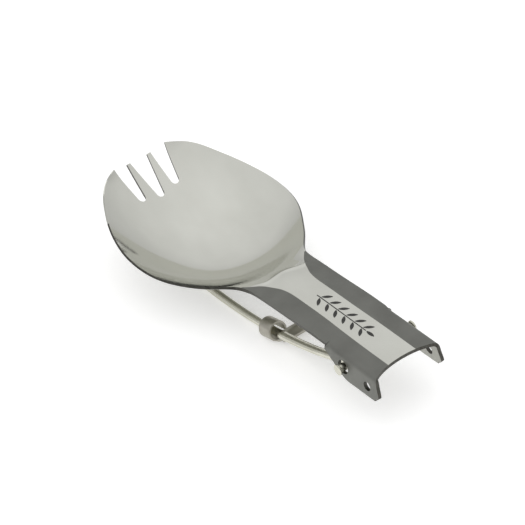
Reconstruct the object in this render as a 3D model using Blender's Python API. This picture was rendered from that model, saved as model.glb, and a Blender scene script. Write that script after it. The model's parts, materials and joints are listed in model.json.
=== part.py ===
"""Folding titanium spork, folded shut.

Three pieces: the stamped head, the bent wire handle and the lock slider on the handle's legs.
The design frame has X along the flat shank, Z up from its top face, and the bowl towards -X.
An empty tilts that frame slightly, so that the folded spork rests on its handle and slider.
All lengths below are in millimetres and angles in degrees.
"""

import math

import bmesh
import bpy
from mathutils import Matrix, Vector

MM = 0.001
SHARP_ANGLE = 35.0

# Rest pose: the tilt and lift that put the wire's belly and the slider on the ground.
REST_PITCH = 1.05
ORIGIN_FORWARD = 47.8
ORIGIN_UP = 13.307

# Sheet of the head: full thickness in the shank, thinned towards the bowl's rim.
SHEET = 0.85
RIM_SHEET = 0.5
THINNED_FROM = -44.0
THINNED_TO = -52.0
HALF_COLUMNS = 16
DISH_POWER = 2.1

# Outline of the head seen from above, as station and half width, and the sheet's height along
# its rim and along its centre line.
HALF_WIDTH = [(-95.3, 6.9), (-94.9, 7.6), (-94.2, 8.7), (-91.2, 12.3), (-87.1, 15.2), (-83.6, 17.0),
              (-78.5, 18.8), (-74.4, 19.7), (-69.6, 20.0), (-64.9, 19.5), (-60.5, 18.0),
              (-56.4, 15.6), (-52.0, 12.6), (-47.5, 9.3), (-45.0, 8.6), (-41.0, 8.4), (-30.0, 8.4)]
RIM_HEIGHT = [(-95.0, 2.5), (-91.2, 1.4), (-87.1, -0.05), (-83.6, -1.0), (-78.5, -1.9),
              (-70.0, -2.7), (-62.0, -3.1), (-56.0, -3.3), (-50.0, -2.6), (-45.0, -1.7),
              (-38.0, -1.1), (-30.0, -0.65), (-23.0, -0.2), (-18.6, -0.1)]
CENTRE_HEIGHT = [(-95.2, 1.3), (-90.5, -2.4), (-84.0, -6.9), (-76.0, -9.9), (-68.0, -10.8),
                 (-60.0, -9.9), (-53.0, -7.0), (-48.0, -3.9), (-46.0, -2.75), (-44.4, -1.75),
                 (-43.4, -1.2), (-42.6, -0.98), (-41.0, -0.7), (-36.0, -0.2), (-30.0, 0.05),
                 (-20.0, 0.15), (0.0, 0.35)]
FRONT_BOW = 0.6
FRONT_BOW_FROM = -92.0
FRONT_BOW_SPAN = 3.0
FRONT_X = -95.2

# Slots between the four tines: root centre x and y, and half widths at the root and the front.
MIDDLE_SLOT = (-87.2, 0.0, 0.0, 0.95, 2.4)
SIDE_SLOT = (-87.8, 4.65, 5.2, 1.0, 2.0)
SLOT_END = -98.0
SLOT_DEPTH = (-16.0, 8.0)
SLOT_ROOT_STEPS = 6

# Channel: the roof falls away slightly to the bends, and the ears hang from the bends.
ROOF_FALL = [(-18.6, 0.25), (-14.0, 0.15), (-6.0, 0.1), (1.5, 0.05)]
ROOF_HALF = 8.4
BEND_START = 7.45
BEND_RADIUS = 1.2
BEND_ANGLE = 85.0
BEND_FROM = -18.6
BEND_TO = -16.4
EAR_FRONT = -17.4
EAR_DEPTH = [(-17.4, 0.8), (-16.9, 1.9), (-16.3, 2.7), (-15.3, 3.4), (-14.4, 3.9), (-12.0, 5.3),
             (-11.0, 5.7), (-9.0, 5.8), (-6.0, 5.7), (-3.0, 5.65), (0.0, 5.5)]
SECTION_STEP = 0.05
SECTION_LIMIT = 20.0
# End edge of the channel, by distance from the centre line along the sheet.
END_EDGE = [(0.0, -2.8), (2.0, -2.7), (3.6, -2.5), (5.4, -2.1), (7.2, -1.45), (8.3, -1.0),
            (9.3, -0.7), (10.7, -0.4), (11.9, -0.05), (12.6, 0.1), (13.2, -0.1), (13.7, -1.1)]
END_FROM = -8.0
END_TO = 1.0

# Holes through the ears: the pin holes and the open holes nearer the end.
PIN_X = -11.7
PIN_Z = -2.9
PIN_HOLE_RADIUS = 1.65
OPEN_HOLE = (-3.7, -3.2, 1.1)
HOLE_SIDES = 20
HOLE_REACH = 12.0

# Wire handle: round wire, pressed wider between the pins and the folded slider's place.
WIRE_RADIUS = 0.92
PRESSED_HALF_WIDTH = 1.25
PRESSED_FROM = 2.0
PRESSED_TO = 26.0
PRESSED_EASE = 3.0
LEG_Y = 6.2
LEG_SLOPE = 23.0
STRAIGHT_LEG = 2.5
ARC_RADIUS = 121.0
LOOP_ARC_RADIUS = 66.0
LEG_END_X = -88.6
PIN_BEND_RADIUS = 1.6
PIN_TIP_Y = 10.4
PIN_HEAD_RADIUS = 1.3
PIN_FACE_RADIUS = 1.05
PIN_HEAD_CHAMFER = 0.15
PIN_HEAD_LENGTH = 0.5
PIN_HEAD_TAPER = 0.3
WIRE_SIDES = 16
LEG_STEPS = 30

# Lock slider, placed by its collars' distance from the pin axis and its slope in the rest pose.
SLIDER_REACH = 28.6
SLIDER_DROP = 8.4
SLIDER_SLOPE = 13.2
COLLAR_LENGTH = 4.0
COLLAR_OUTER = 2.38
COLLAR_INNER = 1.75
COLLAR_START = -105.0
COLLAR_END = 195.0
COLLAR_STEPS = 20
STRIP_WIDTH = 2.9
STRIP_AHEAD = 1.4
STRIP_INSET = 0.05
TONGUE_INSET = 0.6
TONGUE_CORNER = 0.8
CORNER_CUT = 0.23 * TONGUE_CORNER


def smooth(points, x):
    """Height of a smooth curve through points at x: cubic pieces with averaged slopes."""
    if x <= points[0][0]:
        return points[0][1]
    if x >= points[-1][0]:
        return points[-1][1]
    index = max(i for i, point in enumerate(points) if point[0] <= x)

    def slope(i):
        low = max(i - 1, 0)
        high = min(i + 1, len(points) - 1)
        return (points[high][1] - points[low][1]) / (points[high][0] - points[low][0])

    (x0, y0), (x1, y1) = points[index], points[index + 1]
    span = x1 - x0
    t = (x - x0) / span
    rise = 3 * t * t - 2 * t ** 3
    lead = t * (1 - t) ** 2
    tail = t * t * (t - 1)
    return y0 + (y1 - y0) * rise + span * (slope(index) * lead + slope(index + 1) * tail)


def ease(t):
    """Smooth step from 0 to 1."""
    t = min(max(t, 0.0), 1.0)
    return t * t * (3 - 2 * t)


def channel_half(x):
    """Half section of the roof and ear at station x: points by distance along the sheet."""
    curvature = ease((x - BEND_FROM) / (BEND_TO - BEND_FROM)) / BEND_RADIUS
    fall = smooth(ROOF_FALL, x)
    depth = smooth(EAR_DEPTH, x) if x >= EAR_FRONT else None
    y = 0.0
    z = smooth(CENTRE_HEIGHT, x)
    run = 0.0
    points = [(0.0, y, z)]
    while run < SECTION_LIMIT:
        angle = math.atan(2 * fall * min(run, BEND_START) / ROOF_HALF ** 2)
        angle += min(max(run - BEND_START, 0.0) * curvature, math.radians(BEND_ANGLE))
        y += SECTION_STEP * math.cos(angle)
        z -= SECTION_STEP * math.sin(angle)
        run += SECTION_STEP
        points.append((run, y, z))
        if depth is None and run >= ROOF_HALF - SECTION_STEP / 2:
            break
        if depth is not None and z <= -depth:
            break
    return points


def sheet_point(x, column):
    """Point of the head's top face at station x; column runs from -1 at the right rim to 1."""
    side = 1.0 if column >= 0 else -1.0
    share = abs(column)
    if x >= BEND_FROM:
        if x > END_FROM:
            run_full = channel_half(END_FROM)[-1][0]
            end = smooth(END_EDGE, share * run_full)
            x = END_FROM + (x - END_FROM) / (END_TO - END_FROM) * (end - END_FROM)
        section = channel_half(x)
        run, y, z = section[round(share * (len(section) - 1))]
        return Vector((x, side * y, z))
    half = smooth(HALF_WIDTH, x)
    centre = smooth(CENTRE_HEIGHT, x)
    rim = smooth(RIM_HEIGHT, x)
    z = centre + (rim - centre) * share ** DISH_POWER
    if x <= FRONT_BOW_FROM:
        x += FRONT_BOW * share ** 2 * ease((FRONT_BOW_FROM - x) / FRONT_BOW_SPAN)
    return Vector((x, side * half * share, z))


def head_stations():
    """Stations along the head, closer together where the sheet curves."""
    spans = [(FRONT_X, -91.0, 4), (-91.0, -55.0, 18), (-55.0, -46.0, 5), (-46.0, -40.0, 8),
             (-40.0, -19.5, 5), (-19.5, -11.0, 13), (-11.0, END_FROM, 1), (END_FROM, END_TO, 7)]
    stations = [spans[0][0]]
    for low, high, count in spans:
        stations += [low + (high - low) * (i + 1) / count for i in range(count)]
    return stations


def sheet_thickness(x, column):
    """Thickness of the sheet, which thins from the neck into the bowl and towards its rim."""
    thinning = ease((THINNED_FROM - x) / (THINNED_FROM - THINNED_TO)) * column ** 2
    return SHEET - (SHEET - RIM_SHEET) * thinning


def sheet_grid(stations, columns):
    """Top and bottom faces of the sheet as rows of points, one thickness apart."""
    top = [[sheet_point(x, column) for column in columns] for x in stations]
    bottom = []
    for i, row in enumerate(top):
        under = []
        for j, point in enumerate(row):
            along = top[min(i + 1, len(top) - 1)][j] - top[max(i - 1, 0)][j]
            across = row[min(j + 1, len(row) - 1)] - row[max(j - 1, 0)]
            thickness = sheet_thickness(stations[i], columns[j])
            under.append(point - along.cross(across).normalized() * thickness)
        bottom.append(under)
    return top, bottom


def new_material(name, colour, roughness):
    """Bare titanium with a given colour and polish."""
    material = bpy.data.materials.new(name)
    material.use_nodes = True
    shader = material.node_tree.nodes["Principled BSDF"]
    shader.inputs["Base Color"].default_value = (*colour, 1.0)
    shader.inputs["Metallic"].default_value = 1.0
    shader.inputs["Roughness"].default_value = roughness
    return material


def new_empty(name, parent, location):
    """Empty that carries pieces; location is in its parent's frame."""
    empty = bpy.data.objects.new(name, None)
    empty.empty_display_size = 5 * MM
    bpy.context.scene.collection.objects.link(empty)
    empty.parent = parent
    empty.location = Vector(location) * MM
    return empty


def new_object(name, shape, material, parent, origin=(0, 0, 0)):
    """Object from a bmesh in design-frame millimetres, with its origin at a design-frame point."""
    bmesh.ops.recalc_face_normals(shape, faces=shape.faces)
    shift = Vector(origin)
    for vertex in shape.verts:
        vertex.co = (vertex.co - shift) * MM
    mesh = bpy.data.meshes.new(name)
    shape.to_mesh(mesh)
    shape.free()
    mesh.shade_smooth()
    mesh.set_sharp_from_angle(angle=math.radians(SHARP_ANGLE))
    if material is not None:
        mesh.materials.append(material)
    piece = bpy.data.objects.new(name, mesh)
    bpy.context.scene.collection.objects.link(piece)
    piece.parent = parent
    return piece


def new_cutter(name, shape, parent):
    """Hidden object that a Boolean subtracts from or adds to a piece."""
    cutter = new_object(name, shape, None, parent)
    cutter.hide_render = True
    cutter.display_type = "WIRE"
    return cutter


def combine(piece, other, operation):
    """Exact Boolean of piece with other."""
    modifier = piece.modifiers.new(operation.title() + " " + other.name, "BOOLEAN")
    modifier.operation = operation
    modifier.solver = "EXACT"
    modifier.object = other


def skin_rings(shape, rings):
    """Closed skin over rings of points, with flat ends."""
    rows = [[shape.verts.new(point) for point in ring] for ring in rings]
    count = len(rows[0])
    for row, following in zip(rows, rows[1:]):
        for j in range(count):
            k = (j + 1) % count
            shape.faces.new((row[j], row[k], following[k], following[j]))
    shape.faces.new(rows[0])
    shape.faces.new(reversed(rows[-1]))


def head_shape():
    """The sheet before its slots and holes are cut."""
    columns = [j / HALF_COLUMNS for j in range(-HALF_COLUMNS, HALF_COLUMNS + 1)]
    top, bottom = sheet_grid(head_stations(), columns)
    shape = bmesh.new()
    rings = [row + under[::-1] for row, under in zip(top, bottom)]
    rows = [[shape.verts.new(point) for point in ring] for ring in rings]
    count = len(rows[0])
    width = len(columns)
    for row, following in zip(rows, rows[1:]):
        for j in range(count):
            k = (j + 1) % count
            shape.faces.new((row[j], row[k], following[k], following[j]))
    for row in (rows[0], rows[-1]):
        for j in range(width - 1):
            shape.faces.new((row[j], row[j + 1], row[count - 2 - j], row[count - 1 - j]))
    return shape


def slot_shape(root_x, root_y, front_y, root_half, front_half):
    """Upright prism of one slot: a rounded root that widens towards the front."""
    reach = (SLOT_END - root_x) / (FRONT_X - root_x)
    centre_y = root_y + (front_y - root_y) * reach
    half = root_half + (front_half - root_half) * reach
    outline = [(SLOT_END, centre_y - half)]
    for i in range(SLOT_ROOT_STEPS + 1):
        angle = math.pi * (i / SLOT_ROOT_STEPS - 0.5)
        outline.append((root_x + root_half * (math.cos(angle) - 1),
                        root_y + root_half * math.sin(angle)))
    outline.append((SLOT_END, centre_y + half))
    shape = bmesh.new()
    skin_rings(shape, [[(x, y, z) for x, y in outline] for z in SLOT_DEPTH])
    return shape


def hole_shape(x, z, radius):
    """Round bar across both ears."""
    shape = bmesh.new()
    ring = [(x + radius * math.cos(2 * math.pi * i / HOLE_SIDES),
             z + radius * math.sin(2 * math.pi * i / HOLE_SIDES)) for i in range(HOLE_SIDES)]
    skin_rings(shape, [[(px, y, pz) for px, pz in ring] for y in (-HOLE_REACH, HOLE_REACH)])
    return shape


def leg_profile(run):
    """Side view of a leg: its centre line's x and z at a distance along it from the pin axis."""
    slope = math.radians(LEG_SLOPE)
    if run <= STRAIGHT_LEG:
        return PIN_X - run * math.cos(slope), PIN_Z - run * math.sin(slope)
    x = PIN_X - STRAIGHT_LEG * math.cos(slope)
    z = PIN_Z - STRAIGHT_LEG * math.sin(slope)
    arc_run = ARC_RADIUS * slope
    turned = min(run - STRAIGHT_LEG, arc_run) / ARC_RADIUS
    x -= ARC_RADIUS * (math.sin(slope) - math.sin(slope - turned))
    z -= ARC_RADIUS * (math.cos(slope - turned) - math.cos(slope))
    rest = run - STRAIGHT_LEG - arc_run
    if rest > 0:
        x -= LOOP_ARC_RADIUS * math.sin(rest / LOOP_ARC_RADIUS)
        z += LOOP_ARC_RADIUS * (1 - math.cos(rest / LOOP_ARC_RADIUS))
    return x, z


def leg_half_width(run):
    """Half width of a leg across the handle: it swells where the wire is pressed."""
    swell = ease((run - PRESSED_FROM) / PRESSED_EASE) * ease((PRESSED_TO + PRESSED_EASE - run) / PRESSED_EASE)
    return WIRE_RADIUS + (PRESSED_HALF_WIDTH - WIRE_RADIUS) * swell


def wire_path():
    """Half of the wire, pin tip to loop: centre points with half height and half width."""
    stem = PIN_HEAD_LENGTH + PIN_HEAD_TAPER
    path = [((PIN_X, PIN_TIP_Y - back, PIN_Z), radius, radius)
            for back, radius in ((0.0, PIN_FACE_RADIUS), (PIN_HEAD_CHAMFER, PIN_HEAD_RADIUS),
                                 (PIN_HEAD_LENGTH, PIN_HEAD_RADIUS), (stem, WIRE_RADIUS))]
    bend = PIN_BEND_RADIUS
    for i in range(6):
        angle = math.radians(18 * i)
        x, z = leg_profile(bend * (1 - math.cos(angle)))
        path.append(((x, LEG_Y + bend * (1 - math.sin(angle)), z), WIRE_RADIUS, WIRE_RADIUS))
    arc_end = ARC_RADIUS * math.radians(LEG_SLOPE)
    loop_arc = LOOP_ARC_RADIUS * math.asin((leg_profile(STRAIGHT_LEG + arc_end)[0] - LEG_END_X)
                                           / LOOP_ARC_RADIUS)
    loop_start = STRAIGHT_LEG + arc_end + loop_arc - LEG_Y
    for i in range(LEG_STEPS):
        run = STRAIGHT_LEG + (loop_start - STRAIGHT_LEG) * i / LEG_STEPS
        x, z = leg_profile(run)
        path.append(((x, LEG_Y, z), WIRE_RADIUS, leg_half_width(run)))
    for i in range(7):
        angle = math.radians(15 * i)
        x, z = leg_profile(loop_start + LEG_Y * math.sin(angle))
        path.append(((x, LEG_Y * math.cos(angle), z), WIRE_RADIUS, WIRE_RADIUS))
    return path


def sweep(path, sides):
    """Rings of an oval bar along a path of centre points, half heights and half widths."""
    centres = [Vector(point) for point, height, width in path]
    rings = []
    normal = Vector((0, 0, 1))
    for i, (centre, (point, height, width)) in enumerate(zip(centres, path)):
        ahead = centres[min(i + 1, len(centres) - 1)]
        behind = centres[max(i - 1, 0)]
        tangent = (ahead - behind).normalized()
        normal = (normal - tangent * normal.dot(tangent)).normalized()
        across = tangent.cross(normal)
        rings.append([centre + height * normal * math.cos(2 * math.pi * k / sides)
                      + width * across * math.sin(2 * math.pi * k / sides) for k in range(sides)])
    return rings


def wire_shape():
    """The whole wire: one half path and its mirror image, end to end."""
    half = wire_path()
    mirrored = [((x, -y, z), height, width) for (x, y, z), height, width in reversed(half[:-1])]
    shape = bmesh.new()
    skin_rings(shape, sweep(half + mirrored, WIRE_SIDES))
    return shape


def slider_frame():
    """Places the slider's own frame, X towards the pins and Z square to the legs."""
    turn = Matrix.Rotation(-math.radians(SLIDER_SLOPE), 4, "Y")
    return Matrix.Translation((PIN_X - SLIDER_REACH, 0, PIN_Z - SLIDER_DROP)) @ turn


def collar_shape(side):
    """One collar: the strip's end rolled up the outer side of a leg and over it, left open below."""
    half = COLLAR_LENGTH / 2
    rings = []
    for k in range(COLLAR_STEPS + 1):
        angle = math.radians(COLLAR_START + (COLLAR_END - COLLAR_START) * k / COLLAR_STEPS)
        out_y = math.cos(angle)
        out_z = math.sin(angle)
        rings.append([(x, side * (LEG_Y + radius * out_y), radius * out_z)
                      for x, radius in ((-half, COLLAR_OUTER), (half, COLLAR_OUTER),
                                        (half, COLLAR_INNER), (-half, COLLAR_INNER))])
    shape = bmesh.new()
    skin_rings(shape, rings)
    shape.transform(slider_frame())
    return shape


def strip_shape():
    """Cross strip under the legs, wider between the collars than at its ends."""
    near = COLLAR_LENGTH / 2 + STRIP_AHEAD
    far = near - STRIP_WIDTH
    collar_end = COLLAR_LENGTH / 2 - STRIP_INSET
    tongue = LEG_Y - TONGUE_INSET
    outline = [(far, -LEG_Y), (collar_end, -LEG_Y), (collar_end, -tongue),
               (near - TONGUE_CORNER, -tongue), (near - CORNER_CUT, -tongue + CORNER_CUT),
               (near, -tongue + TONGUE_CORNER), (near, tongue - TONGUE_CORNER),
               (near - CORNER_CUT, tongue - CORNER_CUT), (near - TONGUE_CORNER, tongue),
               (collar_end, tongue), (collar_end, LEG_Y), (far, LEG_Y)]
    shape = bmesh.new()
    skin_rings(shape, [[(x, y, z) for x, y in outline] for z in (-COLLAR_OUTER, -COLLAR_INNER)])
    shape.transform(slider_frame())
    return shape


def build_head(assembly):
    """The stamped head with its slots and holes."""
    polished = new_material("polished titanium", (0.56, 0.56, 0.52), 0.15)
    head = new_object("spork_head", head_shape(), polished, assembly)
    slots = [MIDDLE_SLOT, SIDE_SLOT, (SIDE_SLOT[0], -SIDE_SLOT[1], -SIDE_SLOT[2], *SIDE_SLOT[3:])]
    for number, slot in enumerate(slots):
        combine(head, new_cutter(f"slot_cutter_{number}", slot_shape(*slot), assembly), "DIFFERENCE")
    pin_hole = new_cutter("pin_hole_cutter", hole_shape(PIN_X, PIN_Z, PIN_HOLE_RADIUS), assembly)
    open_hole = new_cutter("open_hole_cutter", hole_shape(*OPEN_HOLE), assembly)
    combine(head, pin_hole, "DIFFERENCE")
    combine(head, open_hole, "DIFFERENCE")


def build_handle(assembly):
    """The wire on its hinge, and the slider on its legs."""
    pin = (PIN_X, 0, PIN_Z)
    hinge = new_empty("handle_hinge", assembly, pin)
    drawn = new_material("drawn titanium wire", (0.40, 0.38, 0.34), 0.25)
    new_object("wire_handle", wire_shape(), drawn, hinge, pin)

    seat = slider_frame().translation
    carrier = new_empty("slider_carrier", hinge, seat - Vector(pin))
    satin = new_material("satin titanium", (0.27, 0.25, 0.22), 0.35)
    slider = new_object("lock_slider", collar_shape(1), satin, carrier, seat)
    for name, shape in (("second_collar", collar_shape(-1)), ("cross_strip", strip_shape())):
        combine(slider, new_cutter(name, shape, assembly), "UNION")


def main():
    """Clears the scene and builds the spork."""
    for leftover in list(bpy.data.objects):
        bpy.data.objects.remove(leftover, do_unlink=True)
    assembly = new_empty("spork_assembly", None, (ORIGIN_FORWARD, 0, ORIGIN_UP))
    assembly.rotation_euler = (0, math.radians(REST_PITCH), 0)
    build_head(assembly)
    build_handle(assembly)


main()
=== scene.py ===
"""Looks of the folding titanium spork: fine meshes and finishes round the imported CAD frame.

Shapes are worked out in the design frame, in millimetres: X along the flat shank with the bowl
towards -X, Z up from the shank's top face. The hinge joint's place and the slide joint's slope,
read from the frame, put the design frame into the row frame.
"""

import json
import math

import bmesh
import bpy
import numpy as np
from mathutils import Matrix, Vector


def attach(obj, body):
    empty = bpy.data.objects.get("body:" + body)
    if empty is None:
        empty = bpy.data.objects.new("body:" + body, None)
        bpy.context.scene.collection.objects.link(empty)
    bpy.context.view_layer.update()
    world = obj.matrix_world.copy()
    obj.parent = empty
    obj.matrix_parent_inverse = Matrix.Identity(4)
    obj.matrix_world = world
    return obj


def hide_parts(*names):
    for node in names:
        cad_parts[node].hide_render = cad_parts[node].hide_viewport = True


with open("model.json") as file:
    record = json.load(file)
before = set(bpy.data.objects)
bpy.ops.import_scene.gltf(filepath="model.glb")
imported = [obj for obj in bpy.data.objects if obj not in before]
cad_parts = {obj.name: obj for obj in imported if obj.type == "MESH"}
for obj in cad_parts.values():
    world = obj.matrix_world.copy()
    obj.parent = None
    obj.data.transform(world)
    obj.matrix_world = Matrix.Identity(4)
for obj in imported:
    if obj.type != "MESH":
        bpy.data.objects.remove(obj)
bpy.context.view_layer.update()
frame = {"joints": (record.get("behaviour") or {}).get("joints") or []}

MM = 0.001
JOINTS = {joint["name"]: joint for joint in frame["joints"]}

# Sheet of the head: full thickness in the shank, thinned towards the bowl's rim.
SHEET = 0.84
RIM_SHEET = 0.49
THINNED_FROM = -44.0
THINNED_TO = -52.0
DISH_POWER = 2.1
HALF_WIDTH = [(-95.3, 6.9), (-94.9, 7.6), (-94.2, 8.7), (-91.2, 12.3), (-87.1, 15.2), (-83.6, 17.0),
              (-78.5, 18.8), (-74.4, 19.69), (-69.6, 19.98), (-64.9, 19.5), (-60.5, 18.0),
              (-56.4, 15.6), (-52.0, 12.6), (-47.5, 9.3), (-45.0, 8.6), (-41.0, 8.4), (-30.0, 8.4)]
RIM_HEIGHT = [(-95.0, 2.5), (-91.2, 1.4), (-87.1, -0.05), (-83.6, -1.0), (-78.5, -1.9),
              (-70.0, -2.7), (-62.0, -3.1), (-56.0, -3.3), (-50.0, -2.6), (-45.0, -1.7),
              (-38.0, -1.1), (-30.0, -0.65), (-23.0, -0.2), (-18.6, -0.1)]
CENTRE_HEIGHT = [(-95.2, 1.3), (-90.5, -2.4), (-84.0, -6.9), (-76.0, -9.9), (-68.0, -10.8),
                 (-60.0, -9.9), (-53.0, -7.0), (-48.0, -3.9), (-46.0, -2.75), (-44.4, -1.75),
                 (-43.4, -1.2), (-42.6, -0.98), (-41.0, -0.7), (-36.0, -0.2), (-30.0, 0.05),
                 (-20.0, 0.15), (0.0, 0.35)]
FRONT_BOW = 0.6
FRONT_BOW_FROM = -92.0
FRONT_BOW_SPAN = 3.0
FRONT_X = -95.2

# Half width of the polished strip, which flares into the whole bowl at the neck.
POLISHED_HALF = [(-48.0, 8.9), (-46.5, 8.45), (-45.3, 7.5), (-44.1, 6.6), (-42.2, 5.45), (-40.6, 4.8),
                 (-39.2, 4.2), (-37.0, 3.65), (-32.0, 3.45), (-25.0, 3.45), (-17.0, 3.6), (1.5, 3.65)]
NECK_END = -46.5
RIM_SHARE = 0.975

# Ridge across the neck: station by distance from the centre line.
CREASE_LINE = [(-8.4, -46.0), (-6.2, -44.7), (-4.9, -43.4), (-3.5, -43.1), (-1.5, -43.5), (0.4, -43.7),
               (2.4, -42.8), (5.1, -42.1), (8.4, -41.9)]
CREASE_HEIGHT = 0.24
CREASE_SPREAD = 0.55
CREASE_REACH = 8.2
CREASE_FADE = 3.0
BOWL_SHARE = 0.5
BOWL_BLEND = 12.0
# The rim's edge takes the polished finish forward of this station and the dark edge finish behind it: painted
# shade, since the rim looks lighter at the front only by how light falls on it, not by a different finish.
EDGE_SHADE_FROM = -84.0
HALF_COLUMNS = 44

MIDDLE_SLOT = (-87.2, 0.0, 0.0, 0.95, 2.4)
SIDE_SLOT = (-87.8, 4.65, 5.2, 1.0, 2.0)
SLOT_END = -98.0
SLOT_DEPTH = (-16.0, 8.0)
SLOT_ROOT_STEPS = 18

# Channel: the roof falls away slightly to the bends, and the ears hang from the bends.
ROOF_FALL = [(-18.6, 0.25), (-14.0, 0.15), (-6.0, 0.1), (1.5, 0.05)]
ROOF_HALF = 8.4
BEND_START = 7.45
BEND_RADIUS = 1.2
BEND_ANGLE = 85.0
BEND_FROM = -18.6
BEND_TO = -16.4
EAR_FRONT = -17.4
EAR_DEPTH = [(-17.4, 0.8), (-16.9, 1.9), (-16.3, 2.7), (-15.3, 3.4), (-14.4, 3.9), (-12.0, 5.3),
             (-11.0, 5.7), (-9.0, 5.8), (-6.0, 5.7), (-3.0, 5.65), (0.0, 5.5)]
SECTION_STEP = 0.02
SECTION_LIMIT = 20.0
# End edge of the channel, by distance from the centre line along the sheet.
END_EDGE = [(0.0, -2.8), (2.0, -2.7), (3.6, -2.5), (5.4, -2.1), (7.2, -1.45), (8.3, -1.0),
            (9.3, -0.7), (10.7, -0.4), (11.9, -0.07), (12.6, 0.06), (13.2, -0.13), (13.7, -1.1)]
END_FROM = -8.0
END_TO = 1.0

# Holes through the ears: the pin holes and the open holes nearer the end.
PIN_X = -11.7
PIN_Z = -2.9
PIN_HOLE_RADIUS = 1.65
OPEN_HOLE = (-3.7, -3.2, 1.1)
HOLE_REACH = 12.0
HOLE_SIDES = 48

# Wire handle: round wire, pressed wider between the pins and the folded slider's place.
WIRE_RADIUS = 0.91
PRESSED_HALF_WIDTH = 1.24
PRESSED_FROM = 2.0
PRESSED_TO = 26.0
PRESSED_EASE = 3.0
LEG_Y = 6.2
LEG_SLOPE = 23.0
STRAIGHT_LEG = 2.5
ARC_RADIUS = 121.0
LOOP_ARC_RADIUS = 66.0
LEG_END_X = -88.6
PIN_BEND_RADIUS = 1.6
PIN_TIP_Y = 10.39
PIN_HEAD_RADIUS = 1.29
PIN_STEM = 0.78
WIRE_SIDES = 40
LEG_LEAD = 0.3
LEG_STEPS = 120

# Lock slider.
SLIDER_REACH = 28.6
SLIDER_DROP = 8.4
SLIDER_SLOPE = 13.2
COLLAR_LENGTH = 3.98
COLLAR_OUTER = 2.36
COLLAR_INNER = 1.76
COLLAR_START = -105.0
COLLAR_END = 195.0
STRIP_WIDTH = 2.9
STRIP_AHEAD = 1.4
TONGUE_INSET = 0.6
COLLAR_SOFT = 0.16
COLLAR_STEPS = 60
STRIP_INSET = 0.05
STRIP_CORNER = 0.3
SLIDER_BEVEL = 0.08
SLIDER_BEVEL_ANGLE = 50.0
SLIDER_SHARP_ANGLE = 40.0

SHARP_ANGLE = 35.0

# Camera: direction from the object in degrees, roll, distance and the point it looks at.
CAMERA_AZIMUTH = 57.294
CAMERA_ELEVATION = 38.16
CAMERA_ROLL = -8.1
CAMERA_DISTANCE = 0.8222
CAMERA_TARGET = Vector((-0.00304, 0.00026, 0.01144))
CAMERA_LENS = 260.57


def natural_spline(points):
    """Smooth curve through points, with no jump in curvature: returns a function of x."""
    x = np.array([point[0] for point in points])
    y = np.array([point[1] for point in points])
    count = len(x)
    gap = np.diff(x)
    matrix = np.eye(count)
    right = np.zeros(count)
    for i in range(1, count - 1):
        matrix[i, i - 1:i + 2] = (gap[i - 1], 2 * (gap[i - 1] + gap[i]), gap[i])
        right[i] = 6 * ((y[i + 1] - y[i]) / gap[i] - (y[i] - y[i - 1]) / gap[i - 1])
    bend = np.linalg.solve(matrix, right)

    def value(at):
        at = min(max(at, x[0]), x[-1])
        i = min(max(int(np.searchsorted(x, at)) - 1, 0), count - 2)
        low = (x[i + 1] - at) / gap[i]
        high = 1 - low
        curve = ((low ** 3 - low) * bend[i] + (high ** 3 - high) * bend[i + 1]) * gap[i] ** 2 / 6
        return low * y[i] + high * y[i + 1] + curve
    return value


half_width_at = natural_spline(HALF_WIDTH)
rim_height_at = natural_spline(RIM_HEIGHT)
centre_height_at = natural_spline(CENTRE_HEIGHT)
polished_half_at = natural_spline(POLISHED_HALF)
ear_depth_at = natural_spline(EAR_DEPTH)
end_edge_at = natural_spline(END_EDGE)
roof_fall_at = natural_spline(ROOF_FALL)
crease_line_at = natural_spline(CREASE_LINE)


def ease(t):
    """Smooth step from 0 to 1."""
    t = min(max(t, 0.0), 1.0)
    return t * t * (3 - 2 * t)


def design_to_row():
    """Matrix from design-frame millimetres to the row frame's metres."""
    pin = Vector(JOINTS["handle_fold"]["pos_m"])
    slide = JOINTS["lock_slide"]["axis"]
    tilt = math.radians(SLIDER_SLOPE) - math.atan2(slide[2], slide[0])
    turn = Matrix.Rotation(tilt, 4, "Y")
    shift = Matrix.Translation(-Vector((PIN_X, 0, PIN_Z)))
    return Matrix.Translation(pin) @ turn @ Matrix.Scale(MM, 4) @ shift


TO_ROW = design_to_row()


def channel_half(x):
    """Half section of the ears' channel at station x: points by distance along the sheet."""
    curvature = ease((x - BEND_FROM) / (BEND_TO - BEND_FROM)) / BEND_RADIUS
    depth = ear_depth_at(x) if x >= EAR_FRONT else None
    fall = roof_fall_at(x)
    step = SECTION_STEP
    y = 0.0
    z = centre_height_at(x)
    run = 0.0
    points = [(0.0, y, z)]
    while run < SECTION_LIMIT:
        angle = math.atan(2 * fall * min(run, BEND_START) / ROOF_HALF ** 2)
        angle += min(max(run - BEND_START, 0.0) * curvature, math.radians(BEND_ANGLE))
        y += step * math.cos(angle)
        z -= step * math.sin(angle)
        run += step
        points.append((run, y, z))
        if depth is None and run >= ROOF_HALF - step / 2:
            break
        if depth is not None and z <= -depth:
            break
    return points


SECTIONS = {}


def section_at(x):
    """Half section at station x, kept for the next column that asks for it."""
    key = round(x, 4)
    if key not in SECTIONS:
        SECTIONS[key] = channel_half(x)
    return SECTIONS[key]


STRIP_SHARE = 0.42


def run_share(share, full, strip):
    """Distance from the centre line: the strip's edge always lies on the same column."""
    if share <= STRIP_SHARE:
        return strip * share / STRIP_SHARE
    return strip + (full - strip) * (share - STRIP_SHARE) / (1 - STRIP_SHARE)


def strip_edge(x, full):
    """Distance of the strip's edge from the centre line, kept inside the rim."""
    if x < NECK_END:
        blend = ease((NECK_END - x) / BOWL_BLEND)
        return full * (RIM_SHARE + (BOWL_SHARE - RIM_SHARE) * blend)
    return min(polished_half_at(x), RIM_SHARE * full)


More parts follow.
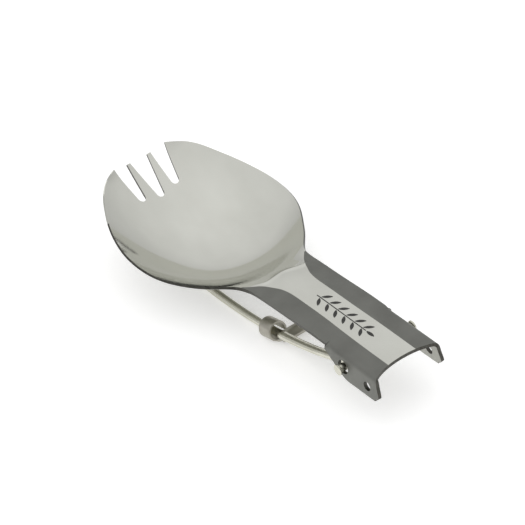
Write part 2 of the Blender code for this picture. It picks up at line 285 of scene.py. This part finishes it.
def sheet_point(x, column):
    """Point of the head's top face at station x; column runs from -1 at the right rim to 1."""
    side = 1.0 if column >= 0 else -1.0
    share = abs(column)
    if x >= BEND_FROM:
        if x > END_FROM:
            full = section_at(END_FROM)[-1][0]
            end = end_edge_at(run_share(share, full, strip_edge(x, full)))
            x = END_FROM + (x - END_FROM) / (END_TO - END_FROM) * (end - END_FROM)
        section = section_at(x)
        full = section[-1][0]
        distance = run_share(share, full, strip_edge(x, full))
        place = distance / full * (len(section) - 1)
        index = min(int(place), len(section) - 2)
        part = place - index
        y = section[index][1] * (1 - part) + section[index + 1][1] * part
        z = section[index][2] * (1 - part) + section[index + 1][2] * part
        return Vector((x, side * y, z))
    full = half_width_at(x)
    distance = run_share(share, full, strip_edge(x, full))
    ratio = distance / full
    centre = centre_height_at(x)
    z = centre + (rim_height_at(x) - centre) * ratio ** DISH_POWER
    z += crease_rise(x, side * distance)
    if x <= FRONT_BOW_FROM:
        x += FRONT_BOW * ratio ** 2 * ease((FRONT_BOW_FROM - x) / FRONT_BOW_SPAN)
    return Vector((x, side * distance, z))


def spread(spans):
    """Stations over spans of (low, high, count)."""
    stations = [spans[0][0]]
    for low, high, count in spans:
        stations += [low + (high - low) * (i + 1) / count for i in range(count)]
    return stations


def crease_rise(x, y):
    """Height of the soft ridge pressed across the neck, which fades out towards the rims."""
    away = (x - crease_line_at(y)) / CREASE_SPREAD
    return CREASE_HEIGHT * math.exp(-away * away) * ease((CREASE_REACH - abs(y)) / CREASE_FADE)


def sheet_thickness(x, y):
    """Thickness of the sheet, which thins from the neck into the bowl and towards its rim."""
    thinning = ease((THINNED_FROM - x) / (THINNED_FROM - THINNED_TO)) * (y / half_width_at(x)) ** 2
    return SHEET - (SHEET - RIM_SHEET) * min(thinning, 1.0)


def sheet_grid(stations, columns):
    """Top and bottom faces of the sheet as rows of points, one thickness apart."""
    top = [[sheet_point(x, column) for column in columns] for x in stations]
    bottom = []
    for i, row in enumerate(top):
        under = []
        for j, point in enumerate(row):
            along = top[min(i + 1, len(top) - 1)][j] - top[max(i - 1, 0)][j]
            across = row[min(j + 1, len(row) - 1)] - row[max(j - 1, 0)]
            thickness = sheet_thickness(stations[i], point.y)
            under.append(point - along.cross(across).normalized() * thickness)
        bottom.append(under)
    return top, bottom


# Materials -------------------------------------------------------------------------------------

def new_metal(name, colour, metallic=1.0):
    """Principled metal; returns the material, its nodes, its links and its shader."""
    material = bpy.data.materials.new(name)
    material.use_nodes = True
    tree = material.node_tree
    shader = tree.nodes["Principled BSDF"]
    shader.inputs["Base Color"].default_value = (*colour, 1.0)
    shader.inputs["Metallic"].default_value = metallic
    return material, tree.nodes, tree.links, shader


def object_noise(nodes, links, scale, detail, stretch=(1, 1, 1), roughness=0.5):
    """Noise in object space; stretch below 1 draws the grain out along that axis."""
    place = nodes.new("ShaderNodeTexCoord")
    mapping = nodes.new("ShaderNodeMapping")
    mapping.inputs["Scale"].default_value = stretch
    noise = nodes.new("ShaderNodeTexNoise")
    noise.inputs["Scale"].default_value = scale
    noise.inputs["Detail"].default_value = detail
    noise.inputs["Roughness"].default_value = roughness
    links.new(place.outputs["Object"], mapping.inputs["Vector"])
    links.new(mapping.outputs["Vector"], noise.inputs["Vector"])
    return noise.outputs["Fac"]


def ranged(nodes, links, source, low, high, start=0.3, stop=0.7):
    """Maps a noise value to a range."""
    node = nodes.new("ShaderNodeMapRange")
    node.inputs["From Min"].default_value = start
    node.inputs["From Max"].default_value = stop
    node.inputs["To Min"].default_value = low
    node.inputs["To Max"].default_value = high
    links.new(source, node.inputs["Value"])
    return node.outputs["Result"]


def tinted(nodes, links, source, dark, light):
    """Colour between dark and light by a noise value."""
    ramp = nodes.new("ShaderNodeValToRGB")
    ramp.color_ramp.elements[0].position = 0.3
    ramp.color_ramp.elements[0].color = (*dark, 1.0)
    ramp.color_ramp.elements[1].position = 0.7
    ramp.color_ramp.elements[1].color = (*light, 1.0)
    links.new(source, ramp.inputs["Fac"])
    return ramp.outputs["Color"]


def bumped(nodes, links, source, strength, distance, below=None):
    """Bump from a height value, on top of another bump if one is given."""
    bump = nodes.new("ShaderNodeBump")
    bump.inputs["Strength"].default_value = strength
    bump.inputs["Distance"].default_value = distance
    links.new(source, bump.inputs["Height"])
    if below is not None:
        links.new(below, bump.inputs["Normal"])
    return bump.outputs["Normal"]


def polished_titanium():
    """Buffed titanium: soft mirror with faint cloudiness and fine buffing lines along the spork."""
    material, nodes, links, shader = new_metal("polished_titanium", (0.64, 0.64, 0.595))
    cloud = object_noise(nodes, links, 90.0, 3.0, (1.0, 1.6, 1.0))
    lines = object_noise(nodes, links, 2600.0, 2.0, (0.03, 1.0, 1.0), 0.6)
    links.new(tinted(nodes, links, cloud, (0.62, 0.622, 0.574), (0.665, 0.668, 0.62)),
              shader.inputs["Base Color"])
    links.new(ranged(nodes, links, cloud, 0.08, 0.12), shader.inputs["Roughness"])
    soft = bumped(nodes, links, cloud, 0.10, 0.00002)
    links.new(bumped(nodes, links, lines, 0.05, 0.000004, soft), shader.inputs["Normal"])
    return material


def blasted_titanium():
    """Bead-blasted titanium: dark, dull and finely pitted."""
    material, nodes, links, shader = new_metal("blasted_titanium", (0.20, 0.202, 0.186))
    patch = object_noise(nodes, links, 160.0, 3.0)
    grain = object_noise(nodes, links, 9000.0, 2.0)
    pits = object_noise(nodes, links, 3500.0, 3.0)
    links.new(tinted(nodes, links, patch, (0.182, 0.184, 0.169), (0.222, 0.225, 0.207)),
              shader.inputs["Base Color"])
    links.new(ranged(nodes, links, grain, 0.46, 0.58), shader.inputs["Roughness"])
    coarse = bumped(nodes, links, pits, 0.25, 0.00001)
    links.new(bumped(nodes, links, grain, 0.35, 0.000008, coarse), shader.inputs["Normal"])
    return material


def satin_titanium():
    """Plain mill finish of the sheet's underside and of the ears' inner faces."""
    material, nodes, links, shader = new_metal("satin_titanium", (0.42, 0.42, 0.385))
    cloud = object_noise(nodes, links, 120.0, 4.0)
    lines = object_noise(nodes, links, 1800.0, 3.0, (0.04, 1.0, 1.0), 0.6)
    links.new(tinted(nodes, links, cloud, (0.395, 0.395, 0.36), (0.45, 0.45, 0.415)),
              shader.inputs["Base Color"])
    links.new(ranged(nodes, links, lines, 0.26, 0.36), shader.inputs["Roughness"])
    links.new(bumped(nodes, links, lines, 0.15, 0.00001), shader.inputs["Normal"])
    return material


def cut_edge_and_painted_shade():
    """Sheared edge of the sheet, streaked across the thickness; its near-black colour is partly the edge's
    own darkening and partly painted shade, standing in for the dark surroundings the edges reflect.
    """
    material, nodes, links, shader = new_metal("cut_edge_and_painted_shade", (0.07, 0.068, 0.06))
    streaks = object_noise(nodes, links, 2200.0, 2.0, (1.0, 1.0, 0.15))
    links.new(tinted(nodes, links, streaks, (0.045, 0.044, 0.038), (0.10, 0.098, 0.088)),
              shader.inputs["Base Color"])
    links.new(ranged(nodes, links, streaks, 0.32, 0.48), shader.inputs["Roughness"])
    links.new(bumped(nodes, links, streaks, 0.2, 0.00001), shader.inputs["Normal"])
    return material


def drawn_wire():
    """Drawn wire: a warm grey sheen with fine streaks along the wire."""
    material, nodes, links, shader = new_metal("drawn_wire", (0.62, 0.61, 0.525))
    streaks = object_noise(nodes, links, 3200.0, 3.0, (0.03, 1.0, 1.0), 0.6)
    stain = object_noise(nodes, links, 240.0, 3.0)
    links.new(tinted(nodes, links, stain, (0.58, 0.57, 0.485), (0.67, 0.66, 0.575)),
              shader.inputs["Base Color"])
    links.new(ranged(nodes, links, streaks, 0.17, 0.30), shader.inputs["Roughness"])
    links.new(bumped(nodes, links, streaks, 0.25, 0.00001), shader.inputs["Normal"])
    return material


def rolled_strip():
    """Rolled slider strip: darker satin with faint scuffs round the collars."""
    material, nodes, links, shader = new_metal("rolled_strip", (0.40, 0.385, 0.335))
    scuffs = object_noise(nodes, links, 1400.0, 3.0, (1.0, 0.25, 0.25))
    stain = object_noise(nodes, links, 300.0, 3.0)
    links.new(tinted(nodes, links, stain, (0.36, 0.345, 0.298), (0.45, 0.435, 0.382)),
              shader.inputs["Base Color"])
    links.new(ranged(nodes, links, scuffs, 0.28, 0.42), shader.inputs["Roughness"])
    links.new(bumped(nodes, links, scuffs, 0.25, 0.00001), shader.inputs["Normal"])
    return material


def etched_grey():
    """Etched ornament: dark and matt, slightly uneven."""
    material, nodes, links, shader = new_metal("etched_grey", (0.045, 0.045, 0.045), 0.4)
    burn = object_noise(nodes, links, 4000.0, 2.0)
    links.new(tinted(nodes, links, burn, (0.03, 0.03, 0.03), (0.065, 0.064, 0.06)),
              shader.inputs["Base Color"])
    links.new(ranged(nodes, links, burn, 0.5, 0.7), shader.inputs["Roughness"])
    return material


# Meshes ----------------------------------------------------------------------------------------

def new_piece(name, shape, materials):
    """Object in the row frame from a bmesh in design-frame millimetres."""
    shape.transform(TO_ROW)
    bmesh.ops.recalc_face_normals(shape, faces=shape.faces)
    mesh = bpy.data.meshes.new(name)
    shape.to_mesh(mesh)
    shape.free()
    mesh.shade_smooth()
    mesh.set_sharp_from_angle(angle=math.radians(SHARP_ANGLE))
    for material in materials:
        mesh.materials.append(material)
    piece = bpy.data.objects.new(name, mesh)
    bpy.context.scene.collection.objects.link(piece)
    return piece


def apply_modifiers(piece):
    """Bakes a piece's modifiers into its mesh."""
    graph = bpy.context.evaluated_depsgraph_get()
    mesh = bpy.data.meshes.new_from_object(piece.evaluated_get(graph), depsgraph=graph)
    piece.modifiers.clear()
    piece.data = mesh


def cut_away(piece, cutters):
    """Subtracts each cutter from the piece, then removes the cutters."""
    for cutter in cutters:
        modifier = piece.modifiers.new("cut", "BOOLEAN")
        modifier.operation = "DIFFERENCE"
        modifier.solver = "EXACT"
        modifier.material_mode = "TRANSFER"
        modifier.object = cutter
    apply_modifiers(piece)
    for cutter in cutters:
        bpy.data.objects.remove(cutter, do_unlink=True)


def skin_rings(shape, rings):
    """Closed skin over rings of points, with flat ends."""
    rows = [[shape.verts.new(point) for point in ring] for ring in rings]
    count = len(rows[0])
    for row, following in zip(rows, rows[1:]):
        for j in range(count):
            k = (j + 1) % count
            shape.faces.new((row[j], row[k], following[k], following[j]))
    for end in (rows[0], rows[-1][::-1]):
        shape.faces.new(end)


POLISHED, BLASTED, SATIN, EDGE = range(4)


def head_shape():
    """The sheet before its slots and holes are cut, with its four finishes."""
    strip_columns = round(STRIP_SHARE * HALF_COLUMNS)
    columns = []
    for j in range(-HALF_COLUMNS, HALF_COLUMNS + 1):
        k = abs(j)
        if k <= strip_columns:
            share = STRIP_SHARE * k / strip_columns
        else:
            share = STRIP_SHARE + (1 - STRIP_SHARE) * (k - strip_columns) / (HALF_COLUMNS - strip_columns)
        columns.append(math.copysign(share, j))
    stations = spread([(FRONT_X, -91.0, 16), (-91.0, -55.0, 80), (-55.0, -47.0, 24), (-47.0, -40.0, 56),
                       (-40.0, -19.5, 26), (-19.5, -13.0, 56), (-13.0, END_FROM, 10),
                       (END_FROM, END_TO, 30)])
    top, bottom = sheet_grid(stations, columns)
    shape = bmesh.new()
    rows = [[shape.verts.new(point) for point in row + under[::-1]] for row, under in zip(top, bottom)]
    width = len(columns)
    count = 2 * width
    for i, (row, following) in enumerate(zip(rows, rows[1:])):
        middle = (stations[i] + stations[i + 1]) / 2
        for j in range(count):
            k = (j + 1) % count
            face = shape.faces.new((row[j], row[k], following[k], following[j]))
            if j < width - 1:
                share = abs((columns[j] + columns[j + 1]) / 2)
                outside = share > STRIP_SHARE and middle > NECK_END
                face.material_index = BLASTED if outside else POLISHED
            elif j == width - 1 or j == count - 1:
                # Side edges: painted shade, with the dark edge finish behind the station and the polished
                # finish forward of it.
                face.material_index = EDGE if middle > EDGE_SHADE_FROM else POLISHED
            else:
                face.material_index = SATIN
    for row in (rows[0], rows[-1]):
        for j in range(width - 1):
            face = shape.faces.new((row[j], row[j + 1], row[count - 2 - j], row[count - 1 - j]))
            face.material_index = EDGE
    return shape


def slot_shape(root_x, root_y, front_y, root_half, front_half):
    """Upright prism of one slot: a rounded root that widens towards the front."""
    reach = (SLOT_END - root_x) / (FRONT_X - root_x)
    centre_y = root_y + (front_y - root_y) * reach
    half = root_half + (front_half - root_half) * reach
    outline = [(SLOT_END, centre_y - half)]
    for i in range(SLOT_ROOT_STEPS + 1):
        angle = math.pi * (i / SLOT_ROOT_STEPS - 0.5)
        outline.append((root_x + root_half * (math.cos(angle) - 1),
                        root_y + root_half * math.sin(angle)))
    outline.append((SLOT_END, centre_y + half))
    shape = bmesh.new()
    skin_rings(shape, [[(x, y, z) for x, y in outline] for z in SLOT_DEPTH])
    return shape


def hole_shape(x, z, radius):
    """Round bar across both ears."""
    shape = bmesh.new()
    ring = [(x + radius * math.cos(2 * math.pi * i / HOLE_SIDES),
             z + radius * math.sin(2 * math.pi * i / HOLE_SIDES)) for i in range(HOLE_SIDES)]
    skin_rings(shape, [[(px, y, pz) for px, pz in ring] for y in (-HOLE_REACH, HOLE_REACH)])
    return shape


def build_head(finishes):
    """The stamped head: bowl, tines, neck, shank and ears."""
    head = new_piece("spork_head_fine", head_shape(), finishes)
    edge = [finishes[EDGE]]
    slots = [MIDDLE_SLOT, SIDE_SLOT, (SIDE_SLOT[0], -SIDE_SLOT[1], -SIDE_SLOT[2], *SIDE_SLOT[3:])]
    cutters = [new_piece(f"slot_{i}", slot_shape(*slot), edge) for i, slot in enumerate(slots)]
    cutters.append(new_piece("pin_hole", hole_shape(PIN_X, PIN_Z, PIN_HOLE_RADIUS), edge))
    cutters.append(new_piece("open_hole", hole_shape(*OPEN_HOLE), edge))
    cut_away(head, cutters)
    head.data.set_sharp_from_angle(angle=math.radians(SHARP_ANGLE))
    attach(head, "head")
    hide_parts("spork_head")


def leg_profile(run):
    """Side view of a leg: its centre line's x and z at a distance along it from the pin axis."""
    slope = math.radians(LEG_SLOPE)
    if run <= STRAIGHT_LEG:
        return PIN_X - run * math.cos(slope), PIN_Z - run * math.sin(slope)
    x = PIN_X - STRAIGHT_LEG * math.cos(slope)
    z = PIN_Z - STRAIGHT_LEG * math.sin(slope)
    arc_run = ARC_RADIUS * slope
    turned = min(run - STRAIGHT_LEG, arc_run) / ARC_RADIUS
    x -= ARC_RADIUS * (math.sin(slope) - math.sin(slope - turned))
    z -= ARC_RADIUS * (math.cos(slope - turned) - math.cos(slope))
    rest = run - STRAIGHT_LEG - arc_run
    if rest > 0:
        x -= LOOP_ARC_RADIUS * math.sin(rest / LOOP_ARC_RADIUS)
        z += LOOP_ARC_RADIUS * (1 - math.cos(rest / LOOP_ARC_RADIUS))
    return x, z


def leg_half_width(run):
    """Half width of a leg across the handle: it swells where the wire is pressed."""
    swell = ease((run - PRESSED_FROM) / PRESSED_EASE) * ease((PRESSED_TO + PRESSED_EASE - run) / PRESSED_EASE)
    return WIRE_RADIUS + (PRESSED_HALF_WIDTH - WIRE_RADIUS) * swell


def wire_path():
    """Half of the wire, pin tip to loop: centre points with half height and half width."""
    head_outline = [(0.0, 0.35), (0.03, 0.75), (0.10, 0.92), (0.20, 1.0), (0.40, 1.0), (0.50, 0.96),
                    (0.60, 0.88)]
    path = [((PIN_X, PIN_TIP_Y - back, PIN_Z), PIN_HEAD_RADIUS * share, PIN_HEAD_RADIUS * share)
            for back, share in head_outline]
    path.append(((PIN_X, PIN_TIP_Y - PIN_STEM, PIN_Z), WIRE_RADIUS, WIRE_RADIUS))
    bend = PIN_BEND_RADIUS
    for i in range(19):
        angle = math.radians(5 * i)
        x, z = leg_profile(bend * (1 - math.cos(angle)))
        path.append(((x, LEG_Y + bend * (1 - math.sin(angle)), z), WIRE_RADIUS, WIRE_RADIUS))
    arc_end = ARC_RADIUS * math.radians(LEG_SLOPE)
    loop_arc = LOOP_ARC_RADIUS * math.asin((leg_profile(STRAIGHT_LEG + arc_end)[0] - LEG_END_X)
                                           / LOOP_ARC_RADIUS)
    loop_start = STRAIGHT_LEG + arc_end + loop_arc - LEG_Y
    leg_start = bend + LEG_LEAD
    for i in range(LEG_STEPS):
        run = leg_start + (loop_start - leg_start) * i / LEG_STEPS
        x, z = leg_profile(run)
        path.append(((x, LEG_Y, z), WIRE_RADIUS, leg_half_width(run)))
    for i in range(31):
        angle = math.radians(3 * i)
        x, z = leg_profile(loop_start + LEG_Y * math.sin(angle))
        path.append(((x, LEG_Y * math.cos(angle), z), WIRE_RADIUS, WIRE_RADIUS))
    return path


def sweep(path, sides):
    """Rings of an oval bar along a path of centre points, half heights and half widths."""
    centres = [Vector(point) for point, height, width in path]
    rings = []
    normal = Vector((0, 0, 1))
    for i, (centre, (point, height, width)) in enumerate(zip(centres, path)):
        ahead = centres[min(i + 1, len(centres) - 1)]
        behind = centres[max(i - 1, 0)]
        tangent = (ahead - behind).normalized()
        normal = (normal - tangent * normal.dot(tangent)).normalized()
        across = tangent.cross(normal)
        rings.append([centre + height * normal * math.cos(2 * math.pi * k / sides)
                      + width * across * math.sin(2 * math.pi * k / sides) for k in range(sides)])
    return rings


def build_wire(material):
    """The bent wire: flattened pin ends, legs and loop."""
    half = wire_path()
    mirrored = [((x, -y, z), height, width) for (x, y, z), height, width in reversed(half[:-1])]
    shape = bmesh.new()
    skin_rings(shape, sweep(half + mirrored, WIRE_SIDES))
    wire = new_piece("wire_handle_fine", shape, [material])
    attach(wire, "handle")
    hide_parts("wire_handle")


def slider_frame():
    """Places the slider's own frame, X towards the pins and Z square to the legs."""
    turn = Matrix.Rotation(-math.radians(SLIDER_SLOPE), 4, "Y")
    return Matrix.Translation((PIN_X - SLIDER_REACH, 0, PIN_Z - SLIDER_DROP)) @ turn


def collar_shape(side):
    """One collar: the strip's end rolled up the outer side of a leg and over it, left open below."""
    half = COLLAR_LENGTH / 2
    soft = COLLAR_SOFT
    rim = []
    for centre_x, centre_r, start in ((-half + soft, COLLAR_OUTER - soft, 180),
                                      (half - soft, COLLAR_OUTER - soft, 90),
                                      (half - soft, COLLAR_INNER + soft, 0),
                                      (-half + soft, COLLAR_INNER + soft, -90)):
        for i in range(5):
            angle = math.radians(start - 22.5 * i)
            rim.append((centre_x + soft * math.cos(angle), centre_r + soft * math.sin(angle)))
    rings = []
    for k in range(COLLAR_STEPS + 1):
        angle = math.radians(COLLAR_START + (COLLAR_END - COLLAR_START) * k / COLLAR_STEPS)
        rings.append([(x, side * (LEG_Y + radius * math.cos(angle)), radius * math.sin(angle))
                      for x, radius in rim])
    shape = bmesh.new()
    skin_rings(shape, rings)
    shape.transform(slider_frame())
    return shape


def rounded_outline(corners, radius, steps=6):
    """Outline through corners, each rounded by an arc of the given radius."""
    outline = []
    count = len(corners)
    for i, corner in enumerate(corners):
        point = Vector(corner)
        before = (Vector(corners[i - 1]) - point).normalized()
        after = (Vector(corners[(i + 1) % count]) - point).normalized()
        half = before.angle(after) / 2
        centre = point + (before + after).normalized() * radius / math.sin(half)
        start = point + before * radius / math.tan(half) - centre
        end = point + after * radius / math.tan(half) - centre
        for k in range(steps + 1):
            outline.append(centre + start.slerp(end, k / steps))
    return outline


def strip_shape():
    """Cross strip under the legs, wider between the collars than at its ends."""
    near = COLLAR_LENGTH / 2 + STRIP_AHEAD
    far = near - STRIP_WIDTH
    collar_end = COLLAR_LENGTH / 2 - STRIP_INSET
    tongue = LEG_Y - TONGUE_INSET
    corners = [(far, -LEG_Y), (collar_end, -LEG_Y), (collar_end, -tongue), (near, -tongue),
               (near, tongue), (collar_end, tongue), (collar_end, LEG_Y), (far, LEG_Y)]
    outline = rounded_outline(corners, STRIP_CORNER)
    shape = bmesh.new()
    skin_rings(shape, [[(point.x, point.y, z) for point in outline] for z in (-COLLAR_OUTER, -COLLAR_INNER)])
    shape.transform(slider_frame())
    return shape


def build_slider(material):
    """The lock slider: one strip whose ends are rolled round the legs."""
    slider = new_piece("lock_slider_fine", strip_shape(), [material])
    for side in (-1, 1):
        collar = new_piece("collar", collar_shape(side), [material])
        modifier = slider.modifiers.new("join", "BOOLEAN")
        modifier.operation = "UNION"
        modifier.solver = "EXACT"
        modifier.object = collar
        apply_modifiers(slider)
        bpy.data.objects.remove(collar, do_unlink=True)
    bevel = slider.modifiers.new("soft edges", "BEVEL")
    bevel.width = SLIDER_BEVEL * MM
    bevel.segments = 2
    bevel.limit_method = "ANGLE"
    bevel.angle_limit = math.radians(SLIDER_BEVEL_ANGLE)
    apply_modifiers(slider)
    slider.data.set_sharp_from_angle(angle=math.radians(SLIDER_SHARP_ANGLE))
    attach(slider, "slider")
    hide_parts("lock_slider")


# Etched ornament: a plain sprig of leaf pairs along the strip, drawn in millimetres.
SPRIG_START = -31.0
SPRIG_LENGTH = 16.5
SPRIG_PAIRS = 6
SPRIG_MARGIN = 1.2
LEAF_ANGLE = 48.0
LEAF_STEPS = 10
STEM_STEPS = 48
LEAF_LENGTH = 2.5
LEAF_HALF = 0.42
LEAF_TIP_HALF = 0.04
LEAF_GAP = 0.25
STEM_HALF = 0.13
ETCH_LIFT = 0.012
ETCH_DEPTH = 0.03


def sheet_height(x, y):
    """Height of the top face at a place on the polished strip."""
    if x >= BEND_FROM:
        section = section_at(round(x, 1))
        step = section[1][0]
        index = min(int(abs(y) / step), len(section) - 1)
        return section[index][2]
    centre = centre_height_at(x)
    return centre + (rim_height_at(x) - centre) * (abs(y) / half_width_at(x)) ** DISH_POWER


def leaf_outline(root, heading):
    """Almond-shaped leaf from its root point in a direction."""
    along = Vector((math.cos(heading), math.sin(heading)))
    across = Vector((-along.y, along.x))
    upper = []
    lower = []
    for i in range(LEAF_STEPS + 1):
        t = i / LEAF_STEPS
        width = LEAF_TIP_HALF + (LEAF_HALF - LEAF_TIP_HALF) * math.sin(math.pi * t) ** 0.8
        upper.append(root + along * LEAF_LENGTH * t + across * width)
        lower.append(root + along * LEAF_LENGTH * t - across * width)
    return upper, lower


def lay_film(name, upper, lower, material):
    """Closed film between two edges, sunk into the sheet and standing a hair above it."""
    shape = bmesh.new()
    rings = []
    for a, b in zip(upper, lower):
        across = [a, (a + b) / 2, b]
        above = [(p.x, p.y, sheet_height(p.x, p.y) + ETCH_LIFT) for p in across]
        below = [(p.x, p.y, sheet_height(p.x, p.y) - ETCH_DEPTH) for p in reversed(across)]
        rings.append(above + below)
    skin_rings(shape, rings)
    return new_piece(name, shape, [material])


def build_ornament(material):
    """Thin etched sprig on the polished strip: a stem and its leaves."""
    width = Vector((0, STEM_HALF))
    stem = [Vector((SPRIG_START + SPRIG_LENGTH * i / STEM_STEPS, 0)) for i in range(STEM_STEPS + 1)]
    films = [lay_film("etched_stem", [p + width for p in stem], [p - width for p in stem], material)]
    for i in range(SPRIG_PAIRS):
        root_x = SPRIG_START + SPRIG_MARGIN + (SPRIG_LENGTH - 2 * SPRIG_MARGIN) * i / (SPRIG_PAIRS - 1)
        for side in (-1, 1):
            edges = leaf_outline(Vector((root_x, LEAF_GAP * side)), math.radians(LEAF_ANGLE) * side)
            films.append(lay_film(f"etched_leaf_{i}_{(side + 1) // 2}", *edges, material))
    tip = leaf_outline(Vector((SPRIG_START + SPRIG_LENGTH + LEAF_GAP, 0)), 0.0)
    films.append(lay_film("etched_leaf_tip", *tip, material))
    for film in films:
        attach(film, "head")


# Scene -----------------------------------------------------------------------------------------

FLOOR_SIZE = 8.0
FLOOR_GLOW = 0.38


def build_floor():
    """Plain pale floor, which glows a little so that it stays white."""
    bpy.ops.mesh.primitive_plane_add(size=FLOOR_SIZE, location=(0, 0, 0))
    floor = bpy.context.active_object
    floor.name = "floor"
    material = bpy.data.materials.new("pale_floor")
    material.use_nodes = True
    shader = material.node_tree.nodes["Principled BSDF"]
    shader.inputs["Base Color"].default_value = (0.92, 0.92, 0.92, 1.0)
    shader.inputs["Roughness"].default_value = 0.9
    shader.inputs["Emission Color"].default_value = (1.0, 1.0, 1.0, 1.0)
    shader.inputs["Emission Strength"].default_value = FLOOR_GLOW
    floor.data.materials.append(material)


# White surround: brightness against the sine of the elevation.
SURROUND = [(0.0, 0.56), (0.25, 0.68), (0.50, 0.81), (0.75, 0.86), (1.0, 0.94)]
SURROUND_PEAK = 0.94


def build_surround():
    """White studio surround, dimmer near the horizon and brightest overhead."""
    world = bpy.data.worlds.new("surround")
    world.use_nodes = True
    nodes = world.node_tree.nodes
    links = world.node_tree.links
    direction = nodes.new("ShaderNodeTexCoord")
    axes = nodes.new("ShaderNodeSeparateXYZ")
    ramp = nodes.new("ShaderNodeValToRGB")
    links.new(direction.outputs["Generated"], axes.inputs["Vector"])
    links.new(axes.outputs["Z"], ramp.inputs["Fac"])
    stops = ramp.color_ramp.elements
    while len(stops) < len(SURROUND):
        stops.new(0.5)
    for stop, (height, level) in zip(stops, SURROUND):
        stop.position = height
        stop.color = (*[level / SURROUND_PEAK] * 3, 1.0)
    background = nodes["Background"]
    background.inputs["Strength"].default_value = SURROUND_PEAK
    links.new(ramp.outputs["Color"], background.inputs["Color"])
    bpy.context.scene.world = world


PANEL_SIZE = 1.6
PANEL_HEIGHT = 1.6
PANEL_POWER = 0.6


def build_key_light():
    """Wide soft panel high over the spork, kept out of its reflections."""
    data = bpy.data.lights.new("overhead_panel", "AREA")
    data.shape = "DISK"
    data.size = PANEL_SIZE
    data.energy = PANEL_POWER
    light = bpy.data.objects.new("overhead_panel", data)
    light.location = (0.0, 0.0, PANEL_HEIGHT)
    light.visible_glossy = False
    bpy.context.scene.collection.objects.link(light)


def build_camera():
    """Long lens, rolled a little."""
    azimuth = math.radians(CAMERA_AZIMUTH)
    elevation = math.radians(CAMERA_ELEVATION)
    back = Vector((math.sin(azimuth) * math.cos(elevation), -math.cos(azimuth) * math.cos(elevation),
                   math.sin(elevation)))
    data = bpy.data.cameras.new("camera")
    data.lens = CAMERA_LENS
    data.sensor_width = 36.0
    data.clip_start = 0.01
    camera = bpy.data.objects.new("camera", data)
    camera.location = CAMERA_TARGET + back * CAMERA_DISTANCE
    camera.rotation_mode = "QUATERNION"
    level = (-back).to_track_quat("-Z", "Y")
    roll = Matrix.Rotation(math.radians(CAMERA_ROLL), 3, "Z").to_quaternion()
    camera.rotation_quaternion = level @ roll
    bpy.context.scene.collection.objects.link(camera)
    bpy.context.scene.camera = camera


def main():
    """Builds every piece, the stage and the camera."""
    build_head([polished_titanium(), blasted_titanium(), satin_titanium(), cut_edge_and_painted_shade()])
    build_wire(drawn_wire())
    build_slider(rolled_strip())
    build_ornament(etched_grey())
    build_floor()
    build_surround()
    build_key_light()
    build_camera()
    bpy.context.scene.view_settings.view_transform = "Standard"


main()
